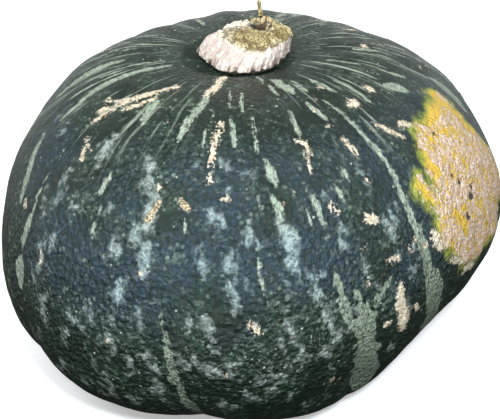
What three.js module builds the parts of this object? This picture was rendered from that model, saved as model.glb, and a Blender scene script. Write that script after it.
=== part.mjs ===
// A kabocha-type winter squash: a lobed, flattened fruit, the corky button of its cut stem, and one dry splinter
// that stands up from the torn top of the stem. Millimetres, +Z up along the fruit's axis. The origin is on the
// flat that the fruit rests on, under the middle of the object's box.
//
// On the fruit, phi is the angle down from the crown (0 at the stem, PI at the blossom end), and a longitude is 0
// towards -Y and grows towards +X.

import * as THREE from "three";

// ---- Driving dimensions of the fruit ----
const HALF_WIDTH = 97; // about half the fruit's width: its other sizes are shares of it
const CROWN_RISE = 0.745 * HALF_WIDTH; // equator up to the crown
const BASE_DEPTH = 0.519 * HALF_WIDTH; // equator down to the blossom end
const REST_DEPTH = 0.533 * HALF_WIDTH; // equator down to the flat that it rests on
const STEM_DIP = 0.091 * HALF_WIDTH; // how far the middle of the crown is pushed down
const BLOSSOM_BOSS = 0.027 * HALF_WIDTH; // how far the middle of the base stands out
const END_RADIUS = 0.468 * HALF_WIDTH; // spread of that dip and boss
const SHOULDER_POWER = 0.9; // power of sin(phi) above the equator: under 1 squares the shoulder
const UNDERSIDE_POWER = 0.667; // the same below the equator
const OVAL = 0.072; // the plan is this much longer and narrower than a circle
const OVAL_LONGITUDE = -36.5; // longitude of the plan's long axis, degrees
const CROWN_LEAN = -0.042 * HALF_WIDTH; // the crown is this far to +X of the equator, and the base to -X
const BLOSSOM_SCAR = { radius: 8, depth: 1.5 }; // the dish in the middle of the resting flat
const STEM_SEAT = { radius: 18.5, drop: 0.8, slope: 0.5 }; // the flat under the stem: its drop under the crown
// is level out to the radius, and its edge climbs back to the skin at the slope

// Each furrow's longitude, in degrees, and how far the lobe after it swells under the equator: 1 is an average
// lobe, 0 is none, and below 0 the lobe is a wide hollow.
const FURROWS = [
  { lon: -158, lobe: 1 },
  { lon: -124, lobe: 1 },
  { lon: -92, lobe: 1 },
  { lon: -54.7, lobe: 0.7 },
  { lon: -17.1, lobe: 0.93 },
  { lon: 19.6, lobe: 0.68 },
  { lon: 40.2, lobe: -0.83 },
  { lon: 63.4, lobe: -0.98 },
  { lon: 98, lobe: 1 },
  { lon: 138, lobe: 1 },
  { lon: 178, lobe: 1 },
];
const MEAN_LOBE = 33; // degrees between the furrows of an average lobe: wider lobes swell more
const LOBE_LEVEL = 0.6; // the part of a lobe's height that lies outside the fruit's mean surface
const FURROW_ROUNDING = 0.15; // softens the bottom of each furrow
const FURROW_DEPTH = { all: 0.01, crown: 0.012, base: 0.09 }; // shares of the radius

// Broad swells (gain over 0) and hollows (gain under 0) that make the fruit uneven. Longitude, latitude and spread
// are in degrees, and gain is a share of the distance from the fruit's middle.
const SWELLS = [
  { lon: 62, lat: -45, spread: 30, gain: -0.081 },
  { lon: -45, lat: -45, spread: 30, gain: 0.075 },
  { lon: 10, lat: -52, spread: 26, gain: 0.044 },
  { lon: -85, lat: -5, spread: 38, gain: -0.041 },
  { lon: 115, lat: 40, spread: 32, gain: -0.055 },
  { lon: 155, lat: -62, spread: 24, gain: 0.05 },
];
const SWELL_FLATNESS = 0.75; // latitudes are measured on a ball squashed to this height

// ---- Driving dimensions of the stem and the splinter ----
const GAP = 0.3; // between touching pieces
const STEM_OFFSET = new THREE.Vector2(1, 0); // from the fruit's pole to the stem's axis
const STEM_PROFILE = [
  [0, 0],
  [8, 0],
  [15.2, 0],
  [15.9, 1.2],
  [16.6, 2.6],
  [16.9, 4],
  [16.6, 5.8],
  [15.2, 7.6],
  [12.4, 9.1],
  [9, 10.2],
  [4.5, 10.9],
  [0, 11.2],
]; // radius and height above the stem's seat
const STEM_RIBS = { count: 17, depth: 0.025 }; // corky ribs down its side
const STEM_BUMPS = [
  { count: 2, depth: 0.04, turn: 10 },
  { count: 3, depth: 0.035, turn: 75 },
  { count: 5, depth: 0.025, turn: 20 },
]; // its uneven outline: waves round it, shares of the radius
const STEM_TILT = 0.12; // the torn top rises towards +Y by this slope
const STEM_TILT_FROM = 4; // height at which the tilt begins
const CRATER = { x: 5.5, y: 5.5, radius: 6, depth: 2.8 }; // where the stalk tore out of the top
const SPLINTER_ROUTE = [
  [6.6, 9.6, 9.6],
  [7, 9.8, 11.8],
  [7.1, 10, 14],
  [6.8, 10.2, 16.4],
]; // from the stem's seat on its axis
const SPLINTER_SECTION = { wide: 1.0, thick: 0.6 }; // half sizes at its root
const SPLINTER_TAPER = 0.55; // how much of them it loses by its tip

const radians = THREE.MathUtils.degToRad;

// ---- The fruit ----

// At a longitude, the lobe's height, from 0 in a furrow to 1 on an average lobe's crest, and its swelling.
function lobeAt(longitude) {
  const degrees = THREE.MathUtils.radToDeg(longitude);
  const last = FURROWS.length - 1;
  const before = FURROWS.findLastIndex((furrow) => furrow.lon <= degrees);
  const from = before < 0 ? FURROWS[last].lon - 360 : FURROWS[before].lon;
  const to = before === last ? FURROWS[0].lon + 360 : FURROWS[before + 1].lon;
  const across = (2 * (degrees - from)) / (to - from) - 1;
  const arch = Math.hypot(1 - across * across, FURROW_ROUNDING) - FURROW_ROUNDING;
  return { height: (arch * (to - from)) / MEAN_LOBE, swelling: FURROWS[before < 0 ? last : before].lobe };
}

// A unit vector at a longitude and latitude in radians.
function direction(longitude, latitude) {
  return new THREE.Vector3(
    Math.cos(latitude) * Math.sin(longitude),
    -Math.cos(latitude) * Math.cos(longitude),
    Math.sin(latitude),
  );
}

function swellAt(point) {
  const towards = point.clone().divide(new THREE.Vector3(1, 1, SWELL_FLATNESS));
  return SWELLS.reduce((total, swell) => {
    const angle = towards.angleTo(direction(radians(swell.lon), radians(swell.lat)));
    return total + swell.gain * Math.exp(-0.5 * (angle / radians(swell.spread)) ** 2);
  }, 1);
}

// A point of the fruit's skin, measured from the middle of its equator.
function skinPoint(phi, longitude) {
  const height = Math.cos(phi);
  const upper = height > 0;
  const lobe = lobeAt(longitude);
  let radius = Math.sin(phi) ** (upper ? SHOULDER_POWER : UNDERSIDE_POWER);
  const fromAxis = (radius * HALF_WIDTH) / END_RADIUS;
  const ends = (upper ? STEM_DIP : BLOSSOM_BOSS) * Math.exp(-(fromAxis ** 2));
  const z = (upper ? CROWN_RISE : BASE_DEPTH) * height - ends;
  const crownDepth = FURROW_DEPTH.all + FURROW_DEPTH.crown * Math.max(0, height) ** 2;
  const baseDepth = FURROW_DEPTH.base * Math.max(0, -height);
  radius *=
    1 + crownDepth * (lobe.height - LOBE_LEVEL) + baseDepth * (lobe.height * lobe.swelling - LOBE_LEVEL);
  radius *= 1 + OVAL * Math.cos(2 * (longitude - radians(OVAL_LONGITUDE)));
  const point = direction(longitude, 0).multiplyScalar(radius * HALF_WIDTH).setZ(z);
  point.multiplyScalar(swellAt(point));
  point.x += CROWN_LEAN * height;
  return point;
}

const crown = skinPoint(0, 0);
const seatHeight = crown.z - STEM_SEAT.drop;
const blossomEnd = skinPoint(Math.PI, 0);

// Rows are closer together near both ends, where the seat and the resting flat need them.
const FRUIT_SEGMENTS = 80;
const FRUIT_ROWS = 46;
const ROW_CROWDING = 0.3; // radians that the rows' angles shift towards the ends

function makeFruit() {
  const geometry = new THREE.SphereGeometry(1, FRUIT_SEGMENTS, FRUIT_ROWS);
  const { position, uv } = geometry.attributes;
  for (let i = 0; i < position.count; i += 1) {
    const share = 1 - uv.getY(i);
    const atPole = share === 0 || share === 1;
    const phi = Math.PI * share - ROW_CROWDING * Math.sin(2 * Math.PI * share);
    const point = skinPoint(phi, atPole ? 0 : 2 * Math.PI * uv.getX(i) - Math.PI);
    if (phi < Math.PI / 2) {
      const pastSeat = Math.hypot(point.x - crown.x, point.y - crown.y) - STEM_SEAT.radius;
      point.z = Math.min(point.z, seatHeight + STEM_SEAT.slope * Math.max(0, pastSeat));
    }
    if (point.z < -REST_DEPTH) {
      const fromScar = Math.hypot(point.x - blossomEnd.x, point.y - blossomEnd.y) / BLOSSOM_SCAR.radius;
      point.z = -REST_DEPTH + BLOSSOM_SCAR.depth * Math.max(0, 1 - fromScar ** 2);
    }
    position.setXYZ(i, point.x, point.y, point.z);
  }
  geometry.computeVertexNormals();
  return geometry;
}

// ---- The stem ----
const STEM_SEGMENTS = 51;

function makeStem() {
  const profile = STEM_PROFILE.map(([radius, height]) => new THREE.Vector2(radius, height));
  const geometry = new THREE.LatheGeometry(profile, STEM_SEGMENTS);
  geometry.rotateX(Math.PI / 2);
  const { position } = geometry.attributes;
  for (let i = 0; i < position.count; i += 1) {
    const [x, y, z] = [position.getX(i), position.getY(i), position.getZ(i)];
    const angle = Math.atan2(y, x);
    const onSide = Math.min(1, z / STEM_TILT_FROM);
    const bumps = STEM_BUMPS.reduce(
      (sum, bump) => sum + bump.depth * Math.cos(bump.count * (angle - radians(bump.turn))),
      onSide * STEM_RIBS.depth * Math.cos(STEM_RIBS.count * angle),
    );
    const tilt = Math.max(0, z - STEM_TILT_FROM) / STEM_TILT_FROM;
    const fromCrater = Math.hypot(x - CRATER.x, y - CRATER.y) / CRATER.radius;
    const drop = z > STEM_TILT_FROM ? CRATER.depth * Math.exp(-(fromCrater ** 2)) : 0;
    const height = z + STEM_TILT * Math.min(1, tilt) * y - drop;
    position.setXYZ(i, x * (1 + bumps), y * (1 + bumps), height);
  }
  geometry.computeVertexNormals();
  return geometry;
}

// ---- The splinter ----
const SPLINTER_STEPS = 10;

function makeSplinter() {
  const route = new THREE.CatmullRomCurve3(SPLINTER_ROUTE.map((point) => new THREE.Vector3(...point)));
  const section = new THREE.Shape();
  section.absellipse(0, 0, SPLINTER_SECTION.thick, SPLINTER_SECTION.wide, 0, 2 * Math.PI);
  const geometry = new THREE.ExtrudeGeometry(section, {
    steps: SPLINTER_STEPS,
    curveSegments: 5,
    bevelEnabled: false,
    extrudePath: route,
  });
  const { position } = geometry.attributes;
  const [root, tip] = [route.getPoint(0), route.getPoint(1)];
  for (let i = 0; i < position.count; i += 1) {
    const share = THREE.MathUtils.clamp((position.getZ(i) - root.z) / (tip.z - root.z), 0, 1);
    const middle = route.getPoint(share);
    const keep = 1 - SPLINTER_TAPER * share;
    position.setX(i, middle.x + (position.getX(i) - middle.x) * keep);
    position.setY(i, middle.y + (position.getY(i) - middle.y) * keep);
  }
  geometry.computeVertexNormals();
  return geometry;
}

// ---- The object ----
const materials = {
  rind: new THREE.MeshStandardMaterial({ color: "#3d5246", roughness: 0.45, metalness: 0 }),
  cork: new THREE.MeshStandardMaterial({ color: "#dfd3c4", roughness: 0.9, metalness: 0 }),
  splinter: new THREE.MeshStandardMaterial({ color: "#b99f6b", roughness: 0.85, metalness: 0 }),
};

function named(name, geometry, material) {
  const mesh = new THREE.Mesh(geometry, material);
  mesh.name = name;
  return mesh;
}

const onCrown = new THREE.Group();
onCrown.position.set(crown.x + STEM_OFFSET.x, crown.y + STEM_OFFSET.y, seatHeight + GAP);
onCrown.add(named("stem", makeStem(), materials.cork));
onCrown.add(named("stem_splinter", makeSplinter(), materials.splinter));

const squash = new THREE.Group();
squash.add(named("squash_body", makeFruit(), materials.rind), onCrown);

// The whole is moved so that the origin is at the middle of its box's underside.
const box = new THREE.Box3().setFromObject(squash, true);
const middle = box.getCenter(new THREE.Vector3());
squash.position.set(-middle.x, -middle.y, -box.min.z);

const root = new THREE.Group();
root.add(squash);

export default root;
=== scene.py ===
"""A kabocha-type winter squash: its lobed waxy rind, the corky cut stem and the torn fibres on top of it.

Everything is in metres in the part's own frame: +Z up, -Y to the front, the origin under the middle of
the object. On the rind a place is a longitude (0 at the front, growing towards +X) and a polar angle phi
(0 at the stem, 180 at the blossom end), both in degrees. Marks on the rind are strokes: a half width in
millimetres and a route, or a spot where the route is a single place.
"""

import math
import random
from functools import partial
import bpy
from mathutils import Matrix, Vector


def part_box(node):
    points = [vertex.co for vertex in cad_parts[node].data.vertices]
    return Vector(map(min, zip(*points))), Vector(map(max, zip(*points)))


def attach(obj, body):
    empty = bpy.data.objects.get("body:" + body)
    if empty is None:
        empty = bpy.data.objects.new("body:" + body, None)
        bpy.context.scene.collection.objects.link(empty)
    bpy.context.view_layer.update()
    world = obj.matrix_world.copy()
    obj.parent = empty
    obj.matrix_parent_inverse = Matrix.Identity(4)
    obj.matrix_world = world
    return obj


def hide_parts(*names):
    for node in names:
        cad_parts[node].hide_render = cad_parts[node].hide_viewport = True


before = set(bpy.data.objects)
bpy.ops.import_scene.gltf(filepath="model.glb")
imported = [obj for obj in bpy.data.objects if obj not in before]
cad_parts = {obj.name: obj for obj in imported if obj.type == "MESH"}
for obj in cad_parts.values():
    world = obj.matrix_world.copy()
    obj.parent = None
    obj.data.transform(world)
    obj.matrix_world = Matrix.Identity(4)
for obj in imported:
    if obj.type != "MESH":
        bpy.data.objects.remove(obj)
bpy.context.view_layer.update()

from types import SimpleNamespace

import bmesh
import bpy
import numpy as np
from mathutils import Matrix, Vector

MM = 0.001

# ---- Driving dimensions of the fruit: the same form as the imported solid, with a finer skin ----
HALF_WIDTH = 0.097  # about half the fruit's width: its other sizes are shares of it
CROWN_RISE = 0.745 * HALF_WIDTH  # equator up to the crown
BASE_DEPTH = 0.519 * HALF_WIDTH  # equator down to the blossom end
REST_DEPTH = 0.533 * HALF_WIDTH  # equator down to the flat that it rests on
STEM_DIP = 0.091 * HALF_WIDTH  # how far the middle of the crown is pushed down
BLOSSOM_BOSS = 0.027 * HALF_WIDTH  # how far the middle of the base stands out
END_RADIUS = 0.468 * HALF_WIDTH  # spread of that dip and boss
SHOULDER_POWER = 0.9  # power of sin(phi) above the equator: under 1 squares the shoulder
UNDERSIDE_POWER = 0.667  # the same below the equator
OVAL = 0.072  # the plan is this much longer and narrower than a circle
OVAL_LONGITUDE = -36.5  # longitude of the plan's long axis
CROWN_LEAN = -0.042 * HALF_WIDTH  # the crown is this far to +X of the equator, and the base to -X
FURROWS = (-158, -124, -92, -54.7, -17.1, 19.6, 40.2, 63.4, 98, 138, 178)
# How far the lobe after each furrow swells under the equator: below 0 it is a wide hollow.
LOBE_SWELLINGS = (1, 1, 1, 0.7, 0.93, 0.68, -0.83, -0.98, 1, 1, 1)
MEAN_LOBE = 33  # degrees between the furrows of an average lobe: wider lobes swell more
LOBE_LEVEL = 0.6  # the part of a lobe's height that lies outside the fruit's mean surface
FURROW_ROUNDING = 0.15  # softens the bottom of each furrow
FURROW_DEPTH = {"all": 0.01, "crown": 0.012, "base": 0.09}  # shares of the radius
# Broad swells and hollows: longitude, latitude and spread in degrees, and gain as a share of the radius.
SWELLS = (
    (62, -45, 30, -0.081), (-45, -45, 30, 0.075), (10, -52, 26, 0.044),
    (-85, -5, 38, -0.041), (115, 40, 32, -0.055), (155, -62, 24, 0.05),
)
SWELL_FLATNESS = 0.75  # latitudes are measured on a ball squashed to this height
# The flat under the stem, its drop under the crown, and the slope by which its edge climbs to the skin.
SEAT = {"radius": 18.5 * MM, "drop": 0.8 * MM, "slope": 0.5}
BLOSSOM_SCAR = {"radius": 8 * MM, "depth": 1.5 * MM}  # the dish in the middle of the resting flat

# ---- The skin's mesh ----
RIND_SEGMENTS = 112
RIND_ROWS = 56
RIND_CUTS = 3
FRONT_CROWDING = 0.42  # radians that the columns shift towards the front
TOP_CROWDING = 0.25  # radians that the rows shift towards the stem


def lobe_at(lon):
    """Height and swelling of the lobe at each longitude, in degrees."""
    edges = np.array((FURROWS[-1] - 360,) + FURROWS + (FURROWS[0] + 360,))
    swellings = np.array((LOBE_SWELLINGS[-1],) + LOBE_SWELLINGS)
    index = np.clip(np.searchsorted(edges, lon, side="right") - 1, 0, len(edges) - 2)
    width = edges[index + 1] - edges[index]
    across = 2 * (lon - edges[index]) / width - 1
    arch = np.hypot(1 - across**2, FURROW_ROUNDING) - FURROW_ROUNDING
    return arch * width / MEAN_LOBE, swellings[index]


def direction(lon, lat):
    """Unit vectors at longitudes and latitudes in degrees."""
    lon, lat = np.radians(lon), np.radians(lat)
    return np.stack([np.cos(lat) * np.sin(lon), -np.cos(lat) * np.cos(lon), np.sin(lat) + 0 * lon], -1)


def skin(lon, phi):
    """Points of the fruit's skin, measured from the middle of its equator."""
    lon, phi = np.asarray(lon, float), np.asarray(phi, float)
    height = np.cos(np.radians(phi))
    upper = height > 0
    lobe, swelling = lobe_at(lon)
    around = np.clip(np.sin(np.radians(phi)), 0, 1)
    radius = around ** np.where(upper, SHOULDER_POWER, UNDERSIDE_POWER)
    ends = np.where(upper, STEM_DIP, BLOSSOM_BOSS) * np.exp(-((radius * HALF_WIDTH / END_RADIUS) ** 2))
    z = np.where(upper, CROWN_RISE, BASE_DEPTH) * height - ends
    crown_depth = FURROW_DEPTH["all"] + FURROW_DEPTH["crown"] * np.maximum(0, height) ** 2
    base_depth = FURROW_DEPTH["base"] * np.maximum(0, -height)
    radius = radius * (1 + crown_depth * (lobe - LOBE_LEVEL) + base_depth * (lobe * swelling - LOBE_LEVEL))
    radius = radius * (1 + OVAL * np.cos(2 * np.radians(lon - OVAL_LONGITUDE)))
    points = direction(lon, 0) * (radius * HALF_WIDTH)[..., None]
    points[..., 2] = z
    towards = points / np.array([1, 1, SWELL_FLATNESS])
    towards /= np.linalg.norm(towards, axis=-1, keepdims=True)
    gain = np.ones(len(points)) if points.ndim == 2 else 1.0
    for swell_lon, swell_lat, spread, share in SWELLS:
        angle = np.arccos(np.clip(towards @ direction(swell_lon, swell_lat), -1, 1))
        gain = gain + share * np.exp(-0.5 * (angle / math.radians(spread)) ** 2)
    points = points * np.asarray(gain)[..., None]
    points[..., 0] += CROWN_LEAN * height
    return points


CROWN = skin(0, 0)
SEAT_HEIGHT = CROWN[2] - SEAT["drop"]
BLOSSOM_END = skin(0, 180)


def past_seat(points):
    """How far outside the stem's seat each point is, seen from above."""
    return np.hypot(points[:, 0] - CROWN[0], points[:, 1] - CROWN[1]) - SEAT["radius"]


def settled(points, phi):
    """The skin with the stem's seat pressed into the crown and the resting flat under it."""
    points = points.copy()
    seat = SEAT_HEIGHT + SEAT["slope"] * np.maximum(0, past_seat(points))
    points[:, 2] = np.where(phi < 90, np.minimum(points[:, 2], seat), points[:, 2])
    from_scar = np.hypot(points[:, 0] - BLOSSOM_END[0], points[:, 1] - BLOSSOM_END[1])
    dish = np.maximum(0, 1 - (from_scar / BLOSSOM_SCAR["radius"]) ** 2)
    flat = -REST_DEPTH + BLOSSOM_SCAR["depth"] * dish
    points[:, 2] = np.where(points[:, 2] < -REST_DEPTH, flat, points[:, 2])
    return points


# ---- Marks on the rind: (half width in mm, (longitude, phi), ...) ----
# Pale green stripes and dashes of the upper half.
PALE_STRIPES = (
    (1.6, (-17.5, 20), (-18.5, 25), (-20.5, 35)), (1.0, (18.8, 28), (18, 37)),
    (0.5, (-6.5, 17), (-5.5, 24)), (0.45, (-0.3, 18), (0, 26)), (0.8, (-4.5, 28), (-3.2, 37)),
    (0.9, (3.6, 29), (2.8, 39)), (1.5, (5.5, 41), (7.2, 48)), (0.35, (-13, 25), (-12.3, 37)),
    (1.1, (5.5, 50), (7.2, 57)), (0.5, (1.8, 48), (2.6, 54)), (0.9, (14, 49), (16.6, 61)),
    (0.5, (12.5, 55), (13.5, 60)), (0.9, (-34.6, 46), (-35.6, 52)), (0.5, (-34.2, 54), (-33.6, 57)),
    (1.1, (-34.2, 59), (-33.6, 63)), (1.6, (-38, 24), (-34.8, 33)), (1.5, (23.5, 15), (27.5, 23)),
    (0.6, (15, 12), (15.5, 15)), (0.8, (17.5, 17), (18.5, 22)), (0.7, (33.5, 18), (34, 24)),
    (1.1, (28, 27), (30.5, 35)), (0.8, (45, 20), (46, 28)), (0.7, (26, 48), (26, 52)),
    (0.9, (22, 51), (22.5, 56)), (2.2, (72, 34), (75, 39)), (0.8, (54, 33), (54.5, 36)),
    (0.45, (0.8, 62), (1, 70), (1.9, 78)), (0.5, (-14.5, 55), (-13.9, 59)),
    (1.6, (-70, 13), (-71.5, 27), (-69, 33), (-66.8, 42)), (2.0, (-69, 48), (-64, 57), (-61, 65)),
    (1.8, (-91.5, 25), (-90, 36), (-87.5, 45)), (0.8, (-80, 16), (-80, 25)),
    (0.9, (36.8, 28), (38.8, 40), (40.6, 48), (40, 56), (39.6, 70)), (1.6, (39.8, 56), (39.8, 72)),
    (0.6, (-55.5, 46), (-54.6, 60), (-53.4, 70)), (2.0, (-54.5, 66), (-54.6, 75)),
    (3.6, (-54.8, 78), (-53.8, 86)), (1.2, (95.5, 36), (96, 46)), (1.0, (80, 18), (81, 26)),
    (1.3, (82, 31), (86, 38)), (1.2, (102, 24), (104, 30)), (4.0, (98, 48), (97, 62)),
)
# Dull green stripes down the furrows of the lower half.
DULL_STRIPES = (
    (0.6, (-17.8, 80), (-17, 90)), (1.5, (-17, 88), (-17, 100)), (2.1, (-17, 100), (-16.6, 116)),
    (2.9, (-16.8, 114), (-16, 134)),
    (1.5, (16.4, 74), (17.6, 84)), (0.9, (20.4, 78), (20.4, 88)), (0.5, (18.2, 84), (18.4, 98)),
    (1.8, (17.4, 83), (19.6, 92)), (4.4, (21.8, 85), (21.8, 98)), (1.3, (24.4, 84), (28.6, 79)),
    (5.0, (22, 98), (22, 108)), (5.2, (22.4, 108), (23.6, 128)),
    (2.6, (40, 70), (41, 82)), (4.6, (41.4, 84), (43, 98)), (5.4, (43, 98), (44.5, 124)),
    (2.2, (-86, 50), (-82, 62), (-80, 76)), (2.6, (-79, 80), (-77, 96)),
)
# Cream corky scratches and scabs.
CORK_SCARS = (
    (0.9, (-38.6, 17.5), (-41.5, 21), (-45, 23.5)), (1.5, (-43.5, 22), (-48, 26), (-52, 29)),
    (0.9, (-50, 26.5), (-54, 29), (-58, 31)), (1.0, (-48.5, 28), (-52, 31.5), (-56, 34)),
    (0.7, (-49.5, 30), (-52, 34), (-54, 37)), (0.9, (-40.2, 23.5), (-43, 27), (-47, 30.5)),
    (1.4, (-13.6, 11), (-16, 15), (-18.2, 20)),
    (0.5, (-50, 41), (-45, 43.3)), (0.9, (-48, 43), (-46, 46)), (0.8, (-8, 29), (-9.2, 40)),
    (0.5, (-9.2, 38), (-9.6, 46)), (0.8, (16.4, 38.4), (19, 39.6)), (0.5, (18.6, 40), (17, 47)),
    (0.7, (33, 27.5)), (0.6, (28.6, 30.5)), (0.5, (30, 36.5)), (0.6, (30.6, 41), (33, 47)),
    (0.8, (43.5, 24)), (2.0, (46.5, 33.2)), (1.8, (61.5, 32)), (1.1, (46.5, 41), (52.5, 47)),
    (0.6, (43.5, 42)), (1.2, (-58.6, 64.8)), (0.8, (-21.7, 48)), (1.0, (-21, 52), (-22.8, 56)),
    (1.3, (-5, 50.4)), (0.6, (10.6, 51)), (0.7, (31, 53.5)), (0.8, (19.6, 56), (20.6, 59)),
    (1.4, (27.4, 62), (30, 63.6)), (0.8, (24.4, 69)), (0.5, (23.2, 78)), (0.8, (29.6, 74), (32, 75)),
    (0.9, (36, 74.6)), (0.9, (38.6, 72.6)), (1.0, (41.8, 75)), (2.3, (31.2, 83), (31, 88), (31.4, 97)),
    (1.1, (27, 91.6)), (0.9, (36, 92)), (0.5, (34, 90.4)), (0.7, (-1.6, 81.4), (-0.4, 84)), (0.4, (6, 86.5)),
    (0.8, (-7.2, 98)), (0.7, (-22, 69)), (0.8, (-46.6, 72), (-46.2, 75)), (0.6, (-29, 88.4)),
    (0.5, (13.4, 111)), (0.5, (15.4, 113)), (1.6, (44.4, 74), (46.4, 79)), (1.2, (49, 84), (53, 87)),
    (1.3, (55, 90), (61, 94)), (1.2, (56.5, 44.5), (60, 47)),
)
# Scabs with brown between their grains.
RUSTY_SCARS = ((1.1, (-21, 52), (-22.8, 56)), (1.2, (-16, 51.4), (-14, 53)), (0.7, (7.8, 53)))
# Feathery pale flecks.
FLECKS = (
    (2.0, (-27, 41), (-25, 45)), (3.0, (-24, 47), (-22, 58)), (2.2, (-25.5, 58), (-24, 62)),
    (2.4, (-41, 37), (-40, 45)), (1.8, (-48, 50), (-48, 58)), (1.4, (-41, 55), (-40, 61)),
    (1.0, (-52, 56), (-51, 61)), (2.2, (-8, 53), (-7, 58)), (2.2, (-29, 62), (-28, 66)),
    (3.0, (-22, 62), (-21, 70)), (1.8, (-10.5, 62), (-9.5, 69)), (1.5, (-4.5, 63), (-4, 68)),
    (1.8, (-1, 57), (-1, 62)), (3.0, (6, 57), (8, 64), (8.8, 71)), (1.3, (-44, 63), (-43.5, 69)),
    (1.1, (5.5, 72), (6, 79)), (2.4, (-27, 72), (-26.5, 79)), (1.5, (-28, 80), (-28, 83)),
    (1.3, (-22, 78), (-21.5, 84)), (1.2, (-32, 80), (-32, 84)), (1.6, (-29, 87), (-28, 91)),
    (0.9, (-34, 86), (-33.5, 89)), (1.8, (-44, 84), (-43.5, 91)), (1.4, (-39, 90), (-39, 95)),
    (1.3, (-22, 90), (-22, 93)), (1.3, (-25, 92), (-24.5, 97)), (1.6, (-30, 100), (-30, 109)),
    (1.6, (-31, 111), (-31, 119)), (1.5, (-27, 111), (-27, 117)), (1.4, (-21.5, 101), (-21, 118)),
    (1.4, (-4.5, 70), (-4, 78)), (0.7, (-2, 70), (-1.5, 73)), (1.6, (-10, 79), (-10, 83)),
    (1.2, (-9, 84), (-9, 88)), (1.2, (-5.5, 91), (-5.5, 98)), (1.2, (3.5, 86), (4, 90)),
    (0.8, (1.5, 94), (2, 98)), (2.0, (8, 90), (8, 96)), (1.1, (-3, 105), (-3, 110)),
    (0.8, (-1, 100), (-1, 103)), (1.1, (5, 111), (5, 115)), (1.2, (34.5, 63), (34.5, 66)),
    (2.0, (11.5, 74), (12.5, 79)), (2.0, (14, 81), (13.5, 86)), (1.6, (6, 82), (6.5, 86)),
    (2.0, (12, 92), (12.5, 97)), (1.5, (24, 72), (24, 78)), (1.1, (20.5, 62), (21, 68)),
    (2.2, (-47, 68), (-46, 76)), (2.0, (32, 64), (33, 70)),
)
# The yellow patch that the fruit lay on as it grew.
GROUND_PATCH = (
    (16, (63, 62), (74, 62)), (17, (62, 72), (74, 74)), (14, (78, 56), (82, 74)), (9, (60, 84), (74, 84)),
    (7, (50, 74), (54, 82)), (7, (60, 54), (84, 50)), (5, (47, 62), (50, 68)),
)
# Parts of that patch with little cork on them.
BARE_YELLOW = (
    (2.4, (46, 58), (47, 66)), (2.6, (54, 53), (56, 60)), (5.0, (68, 47), (86, 46)), (2.0, (62, 53.5)),
    (3.0, (84, 50), (87, 62)), (3.0, (56, 73), (57, 79)), (1.5, (60, 74)), (2.0, (74, 56)), (2.0, (80, 62)),
)
# Dusky spots near the stem.
DUSKY_SPOTS = ((2.4, (17, 23), (20, 24)), (2.0, (21, 24), (26, 25)), (1.2, (14, 36), (15, 38)))
# Dark pits in the patch's cork.
DARK_PITS = (
    (1.2, (63, 67)), (1.6, (65, 73)), (1.5, (60.5, 76.5)), (0.9, (66, 52.5)), (1.1, (67, 71)),
    (0.9, (61.5, 64.5)),
)
FURTHEST = 4.0  # mm: the depths inside and outside a mark stop there
TAPER_POWER = 2.5  # how late towards its ends a stroke narrows


def inside_marks(points, marks, taper):
    """How far inside the nearest mark each point is, in mm: 0 at a mark's edge and negative outside it.
    A stroke's half width narrows towards both ends by the taper."""
    best = np.full(len(points), -FURTHEST)
    for half_width, *route in marks:
        knots = skin(np.array([p[0] for p in route]), np.array([p[1] for p in route])) / MM
        pieces = len(knots) - 1
        if not pieces:
            near = np.flatnonzero(np.abs(points - knots[0]).max(1) < half_width + FURTHEST)
            best[near] = np.maximum(best[near], half_width - np.linalg.norm(points[near] - knots[0], axis=1))
        for index in range(pieces):
            start, along = knots[index], knots[index + 1] - knots[index]
            reach = np.linalg.norm(along) / 2 + half_width + FURTHEST
            near = np.flatnonzero(np.abs(points - start - along / 2).max(1) < reach)
            offset = points[near] - start
            share = np.clip(offset @ along / (along @ along), 0, 1)
            distance = np.linalg.norm(offset - share[:, None] * along, axis=1)
            from_middle = np.abs(2 * (index + share) / pieces - 1)
            width = half_width * (1 - taper * from_middle**TAPER_POWER)
            best[near] = np.maximum(best[near], width - distance)
    return np.minimum(best, FURTHEST)


# Scattered marks. The hidden sides get marks of every kind, and the front gets small flecks between the
# listed ones: kind, count, longitudes, phis, half widths in mm, and lengths in degrees of phi.
BACK = (104, 262)
FRONT = (-86, 40)
SCATTERED = (
    ("pale", 46, BACK, (16, 60), (0.4, 1.5), (5, 13)),
    ("dull", 10, BACK, (84, 100), (0.8, 2.6), (14, 26)),
    ("scar", 46, BACK, (22, 105), (0.4, 1.3), (0, 4)),
    ("fleck", 90, BACK, (40, 112), (0.9, 2.6), (3, 10)),
    ("fleck", 90, FRONT, (74, 124), (0.7, 1.9), (0.5, 4)),
    ("fleck", 26, FRONT, (40, 74), (0.5, 1.3), (0.5, 3)),
)
SCATTER_SEED = 7
BACK_FURROWS = (-158, -124, 138, 178)
BACK_STRIPES = {
    "start": (20, 28), "last_start": 118, "end": 124, "length": (8, 26), "gap": (-1, 9),
    "wander": 1.2, "half_width": (0.7, 2.2),
}


def scattered_marks(rng, count, lons, phis, half_widths, lengths):
    """Short strokes along the meridians at random places."""
    marks = []
    for _ in range(count):
        lon = rng.uniform(*lons)
        lon -= 360 if lon > 180 else 0
        phi = rng.uniform(*phis)
        length = rng.uniform(*lengths)
        marks.append((rng.uniform(*half_widths), (lon, phi), (lon + rng.uniform(-1, 1), phi + length)))
    return marks


def back_furrow_stripes(rng):
    """Broken pale stripes down the furrows of the hidden sides."""
    marks = []
    like = BACK_STRIPES
    for lon in BACK_FURROWS:
        phi = rng.uniform(*like["start"])
        while phi < like["last_start"]:
            length = rng.uniform(*like["length"])
            wander = rng.uniform(-like["wander"], like["wander"])
            foot = min(phi + length, like["end"])
            marks.append((rng.uniform(*like["half_width"]), (lon + wander, phi), (lon - wander, foot)))
            phi += length + rng.uniform(*like["gap"])
    return marks


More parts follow.
